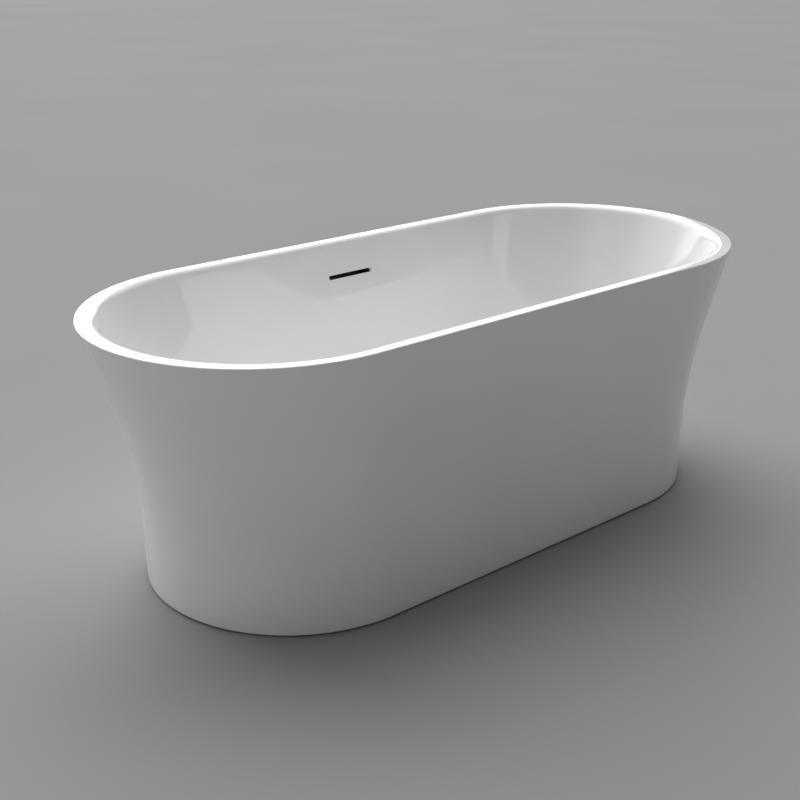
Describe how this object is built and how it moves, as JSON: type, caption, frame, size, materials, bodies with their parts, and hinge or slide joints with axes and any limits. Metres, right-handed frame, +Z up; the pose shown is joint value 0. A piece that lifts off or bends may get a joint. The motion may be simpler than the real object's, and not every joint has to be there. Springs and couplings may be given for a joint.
{
  "type": "freestanding bathtub",
  "caption": "Oval freestanding bath with a flared skirt, flat rim, slot overflow, push-to-close waste and levelling feet.",
  "frame": {"origin": "on the floor, under the middle of the bath", "axes": "+X along the bath's length, +Y towards the overflow side, +Z up"},
  "size_m": [1.7, 0.7498, 0.6],
  "materials": {
    "white_acrylic": "polished white acrylic",
    "glass_fibre": "rough laminate",
    "plywood": "bare plywood",
    "zinc_steel": "galvanised",
    "bright_steel": "zinc plated",
    "black_rubber": "moulded rubber",
    "black_plastic": "moulded black plastic",
    "grey_plastic": "moulded grey plastic",
    "chrome": "polished chrome"
  },
  "bodies": {
    "bath": {"outer_skirt": "white_acrylic", "basin": "white_acrylic", "rim_bonding_strip": "glass_fibre", "base_board": "plywood", "frame_rail_front": "zinc_steel", "frame_rail_rear": "zinc_steel", "frame_crossbar_left": "zinc_steel", "frame_crossbar_mid_left": "zinc_steel", "frame_crossbar_mid_right": "zinc_steel", "frame_crossbar_right": "zinc_steel", "board_screws": "bright_steel", "foot_weld_nuts": "bright_steel", "foot_lock_nuts": "bright_steel", "arm_screws": "bright_steel", "overflow_seal": "black_rubber", "overflow_duct": "black_plastic", "overflow_hose": "grey_plastic", "hose_clip_top": "bright_steel", "hose_clip_bottom": "bright_steel", "drain_flange": "chrome", "drain_gasket_top": "black_rubber", "drain_gasket_bottom": "black_rubber", "waste_body": "grey_plastic", "plug_cartridge": "chrome", "plug_spring": "bright_steel", "skirt_arm_1": "zinc_steel", "skirt_arm_2": "zinc_steel", "skirt_arm_3": "zinc_steel", "skirt_arm_4": "zinc_steel", "skirt_block_1": "plywood", "skirt_block_2": "plywood", "skirt_block_3": "plywood", "skirt_block_4": "plywood"},
    "plug": {"plug_stem": "chrome", "plug_cap": "chrome", "plug_seal": "black_rubber"},
    "foot_pad_1": {"foot_pad_1": "black_rubber"},
    "foot_stud_1": {"foot_stud_1": "bright_steel"},
    "foot_pad_2": {"foot_pad_2": "black_rubber"},
    "foot_stud_2": {"foot_stud_2": "bright_steel"},
    "foot_pad_3": {"foot_pad_3": "black_rubber"},
    "foot_stud_3": {"foot_stud_3": "bright_steel"},
    "foot_pad_4": {"foot_pad_4": "black_rubber"},
    "foot_stud_4": {"foot_stud_4": "bright_steel"},
    "foot_pad_5": {"foot_pad_5": "black_rubber"},
    "foot_stud_5": {"foot_stud_5": "bright_steel"}
  },
  "joints": [
    {"name": "plug_press", "type": "slide", "parent": "bath", "child": "plug", "axis": [0, 0, -1], "range_m": [0, 0.009], "stiffness_N_per_m": 400, "springref_m": -0.02, "deforming": ["plug_spring"]},
    {"name": "foot_1_height", "type": "slide", "parent": "bath", "child": "foot_pad_1", "axis": [0, 0, -1], "range_m": [-0.003, 0.015]},
    {"name": "foot_1_turn", "type": "hinge", "parent": "foot_pad_1", "child": "foot_stud_1", "pos_m": [0.4295, 0.139, 0], "axis": [0, 0, -1], "range_deg": [-618, 3086]},
    {"name": "foot_2_height", "type": "slide", "parent": "bath", "child": "foot_pad_2", "axis": [0, 0, -1], "range_m": [-0.003, 0.015]},
    {"name": "foot_2_turn", "type": "hinge", "parent": "foot_pad_2", "child": "foot_stud_2", "pos_m": [0.4295, -0.139, 0], "axis": [0, 0, -1], "range_deg": [-618, 3086]},
    {"name": "foot_3_height", "type": "slide", "parent": "bath", "child": "foot_pad_3", "axis": [0, 0, -1], "range_m": [-0.003, 0.015]},
    {"name": "foot_3_turn", "type": "hinge", "parent": "foot_pad_3", "child": "foot_stud_3", "pos_m": [-0.4295, 0.139, 0], "axis": [0, 0, -1], "range_deg": [-618, 3086]},
    {"name": "foot_4_height", "type": "slide", "parent": "bath", "child": "foot_pad_4", "axis": [0, 0, -1], "range_m": [-0.003, 0.015]},
    {"name": "foot_4_turn", "type": "hinge", "parent": "foot_pad_4", "child": "foot_stud_4", "pos_m": [-0.4295, -0.139, 0], "axis": [0, 0, -1], "range_deg": [-618, 3086]},
    {"name": "foot_5_height", "type": "slide", "parent": "bath", "child": "foot_pad_5", "axis": [0, 0, -1], "range_m": [-0.003, 0.015]},
    {"name": "foot_5_turn", "type": "hinge", "parent": "foot_pad_5", "child": "foot_stud_5", "pos_m": [-0.15, 0, 0], "axis": [0, 0, -1], "range_deg": [-618, 3086]}
  ],
  "couplings": [
    {"joint": "foot_1_turn", "follows": "foot_1_height", "rad_per_m": 3590.4},
    {"joint": "foot_2_turn", "follows": "foot_2_height", "rad_per_m": 3590.4},
    {"joint": "foot_3_turn", "follows": "foot_3_height", "rad_per_m": 3590.4},
    {"joint": "foot_4_turn", "follows": "foot_4_height", "rad_per_m": 3590.4},
    {"joint": "foot_5_turn", "follows": "foot_5_height", "rad_per_m": 3590.4}
  ]
}
